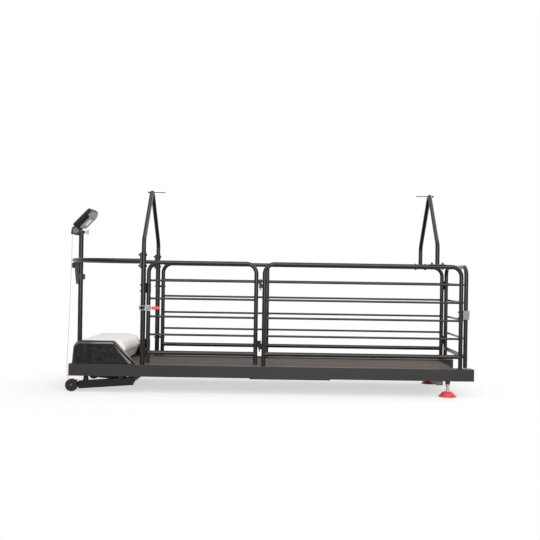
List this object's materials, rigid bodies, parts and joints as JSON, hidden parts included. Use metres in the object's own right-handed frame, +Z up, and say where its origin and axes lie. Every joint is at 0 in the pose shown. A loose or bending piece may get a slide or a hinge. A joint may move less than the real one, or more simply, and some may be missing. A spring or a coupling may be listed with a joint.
{
  "type": "dog treadmill",
  "caption": "Motorised dog treadmill: belt deck between box rails inside a tube pen with gates, leash arches, handle loop, console mast and tilting front lift",
  "frame": {"origin": "on the floor, under the centre of the object's outline without the safety cord", "axes": "+X runs from the console to the rear gate, -Y is the side with the gate, +Z is up"},
  "size_m": [2.4952, 0.769, 1.23],
  "materials": {
    "tube_black": "satin powder coat",
    "rail_grey": "satin powder coat",
    "lift_black": "satin powder coat",
    "plastic_black": "fine grain",
    "deck_board": "coated board",
    "belt_rubber": "fine woven grain",
    "drive_rubber": "ribbed",
    "steel": "turned",
    "motor_grey": "satin",
    "board_green": "circuit board",
    "hood_black": "high gloss",
    "hood_white": "warm white gloss",
    "wheel_black": "solid tyre",
    "foot_red": "moulded",
    "latch_chrome": "bright zinc",
    "grip_red": "dipped",
    "galvanised": "galvanised",
    "knob_white": "moulded",
    "console_grey": "fine grain",
    "screen_dark": "screen",
    "key_grey": "soft key",
    "cord_red": "braided"
  },
  "bodies": {
    "frame": {"rail_near": "rail_grey", "rail_far": "rail_grey", "rail_end_caps": "plastic_black", "cross_members": "rail_grey", "front_beam": "rail_grey", "deck": "deck_board", "running_belt": "belt_rubber", "motor": "motor_grey", "drive_belt": "drive_rubber", "control_board": "board_green", "power_inlet": "plastic_black", "hood_side_near": "hood_black", "hood_side_far": "hood_black", "hood_cover": "hood_white", "post_near": "tube_black", "post_far": "tube_black", "fence_near": "tube_black", "fence_far": "tube_black", "hinge_pins": "latch_chrome", "stop_plates": "tube_black", "rear_catch": "galvanised", "arch_front": "tube_black", "arch_rear": "tube_black", "leash_rods": "tube_black", "arch_bolts": "tube_black", "small_bolts": "tube_black", "handle_loop": "tube_black", "mast": "tube_black", "mast_bracket": "plastic_black", "console_neck": "plastic_black"},
    "roller_front": {"roller_front": "steel"},
    "roller_rear": {"roller_rear": "steel"},
    "motor_shaft": {"motor_pulley": "steel"},
    "lift": {"lift_frame": "lift_black"},
    "wheel_near": {"wheel_near": "wheel_black"},
    "wheel_far": {"wheel_far": "wheel_black"},
    "actuator": {"actuator_body": "motor_grey"},
    "actuator_rod": {"actuator_rod": "steel"},
    "gate_near": {"gate_near": "tube_black", "latch_base": "latch_chrome"},
    "latch_lever": {"latch_lever": "latch_chrome", "latch_grip": "grip_red"},
    "latch_loop": {"latch_loop": "latch_chrome"},
    "gate_rear": {"gate_rear": "tube_black"},
    "console": {"console_back": "console_grey", "console_bezel": "plastic_black", "console_screen": "screen_dark"},
    "key_start": {"key_start": "key_grey"},
    "key_stop": {"key_stop": "key_grey"},
    "key_faster": {"key_faster": "key_grey"},
    "key_slower": {"key_slower": "key_grey"},
    "safety_key": {"safety_key": "grip_red", "safety_cord": "cord_red", "safety_clip": "grip_red"},
    "tilt_knob": {"tilt_knob": "knob_white"},
    "clamp_knob": {"clamp_knob": "plastic_black"},
    "foot_near": {"foot_pad_near": "foot_red", "foot_spindle_near": "steel"},
    "foot_far": {"foot_pad_far": "foot_red", "foot_spindle_far": "steel"}
  },
  "joints": [
    {"name": "belt_drive_spin", "type": "hinge", "parent": "frame", "child": "roller_front", "pos_m": [-1.01, 0, 0.1297], "axis": [0, 1, 0], "continuous": true},
    {"name": "rear_roller_spin", "type": "hinge", "parent": "frame", "child": "roller_rear", "pos_m": [1.125, 0, 0.1297], "axis": [0, 1, 0], "continuous": true},
    {"name": "motor_spin", "type": "hinge", "parent": "frame", "child": "motor_shaft", "pos_m": [-1.072, 0.283, 0.217], "axis": [0, 1, 0], "continuous": true},
    {"name": "incline", "type": "hinge", "parent": "frame", "child": "lift", "pos_m": [-0.8, 0, 0.064], "axis": [0, -1, 0], "range_deg": [0, 18]},
    {"name": "near_wheel_spin", "type": "hinge", "parent": "lift", "child": "wheel_near", "pos_m": [-1.152, -0.334, 0.037], "axis": [0, 1, 0], "continuous": true},
    {"name": "far_wheel_spin", "type": "hinge", "parent": "lift", "child": "wheel_far", "pos_m": [-1.152, 0.334, 0.037], "axis": [0, 1, 0], "continuous": true},
    {"name": "actuator_swing", "type": "hinge", "parent": "frame", "child": "actuator", "pos_m": [-1.11, 0, 0.076], "axis": [0, 1, 0], "range_deg": [-0.2, 1.6]},
    {"name": "actuator_stroke", "type": "slide", "parent": "actuator", "child": "actuator_rod", "axis": [0.9901, 0, -0.1404], "range_m": [-0.001, 0.014]},
    {"name": "near_gate_swing", "type": "hinge", "parent": "frame", "child": "gate_near", "pos_m": [-0.0385, -0.33, 0.3], "axis": [0, 0, 1], "range_deg": [0, 110]},
    {"name": "latch_throw", "type": "hinge", "parent": "gate_near", "child": "latch_lever", "pos_m": [-0.706, -0.354, 0.502], "axis": [0, 0, -1], "range_deg": [0, 130]},
    {"name": "latch_loop_swing", "type": "hinge", "parent": "latch_lever", "child": "latch_loop", "pos_m": [-0.694, -0.354, 0.502], "axis": [0, 0, -1], "range_deg": [-150, 1]},
    {"name": "rear_gate_swing", "type": "hinge", "parent": "frame", "child": "gate_rear", "pos_m": [1.1715, 0.352, 0.3], "axis": [0, 0, 1], "range_deg": [0, 115]},
    {"name": "console_tilt", "type": "hinge", "parent": "frame", "child": "console", "pos_m": [-1.206, 0, 0.97], "axis": [0, 1, 0], "range_deg": [-15, 20]},
    {"name": "key_start_press", "type": "slide", "parent": "console", "child": "key_start", "axis": [0.7193, 0, -0.6947], "range_m": [0, 0.003], "stiffness_N_per_m": 250},
    {"name": "key_stop_press", "type": "slide", "parent": "console", "child": "key_stop", "axis": [0.7193, 0, -0.6947], "range_m": [0, 0.003], "stiffness_N_per_m": 250},
    {"name": "key_faster_press", "type": "slide", "parent": "console", "child": "key_faster", "axis": [0.7193, 0, -0.6947], "range_m": [0, 0.003], "stiffness_N_per_m": 250},
    {"name": "key_slower_press", "type": "slide", "parent": "console", "child": "key_slower", "axis": [0.7193, 0, -0.6947], "range_m": [0, 0.003], "stiffness_N_per_m": 250},
    {"name": "safety_key_pull", "type": "slide", "parent": "frame", "child": "safety_key", "axis": [-1, 0, 0], "range_m": [0, 0.013]},
    {"name": "tilt_knob_turn", "type": "hinge", "parent": "frame", "child": "tilt_knob", "pos_m": [-1.15, 0, 0.96], "axis": [1, 0, 0], "continuous": true},
    {"name": "clamp_knob_turn", "type": "hinge", "parent": "frame", "child": "clamp_knob", "pos_m": [-1.22, 0, 0.7507], "axis": [1, 0, 0], "continuous": true},
    {"name": "near_foot_level", "type": "slide", "parent": "frame", "child": "foot_near", "axis": [0, 0, -1], "range_m": [0, 0.025]},
    {"name": "far_foot_level", "type": "slide", "parent": "frame", "child": "foot_far", "axis": [0, 0, -1], "range_m": [0, 0.025]}
  ],
  "couplings": [
    {"joint": "rear_roller_spin", "follows": "belt_drive_spin", "ratio": 1},
    {"joint": "motor_spin", "follows": "belt_drive_spin", "ratio": 2.4},
    {"joint": "actuator_swing", "follows": "incline", "ratio": 0.0655},
    {"joint": "actuator_stroke", "follows": "incline", "m_per_rad": 0.0346},
    {"joint": "latch_loop_swing", "follows": "latch_throw", "ratio": -1.12}
  ]
}
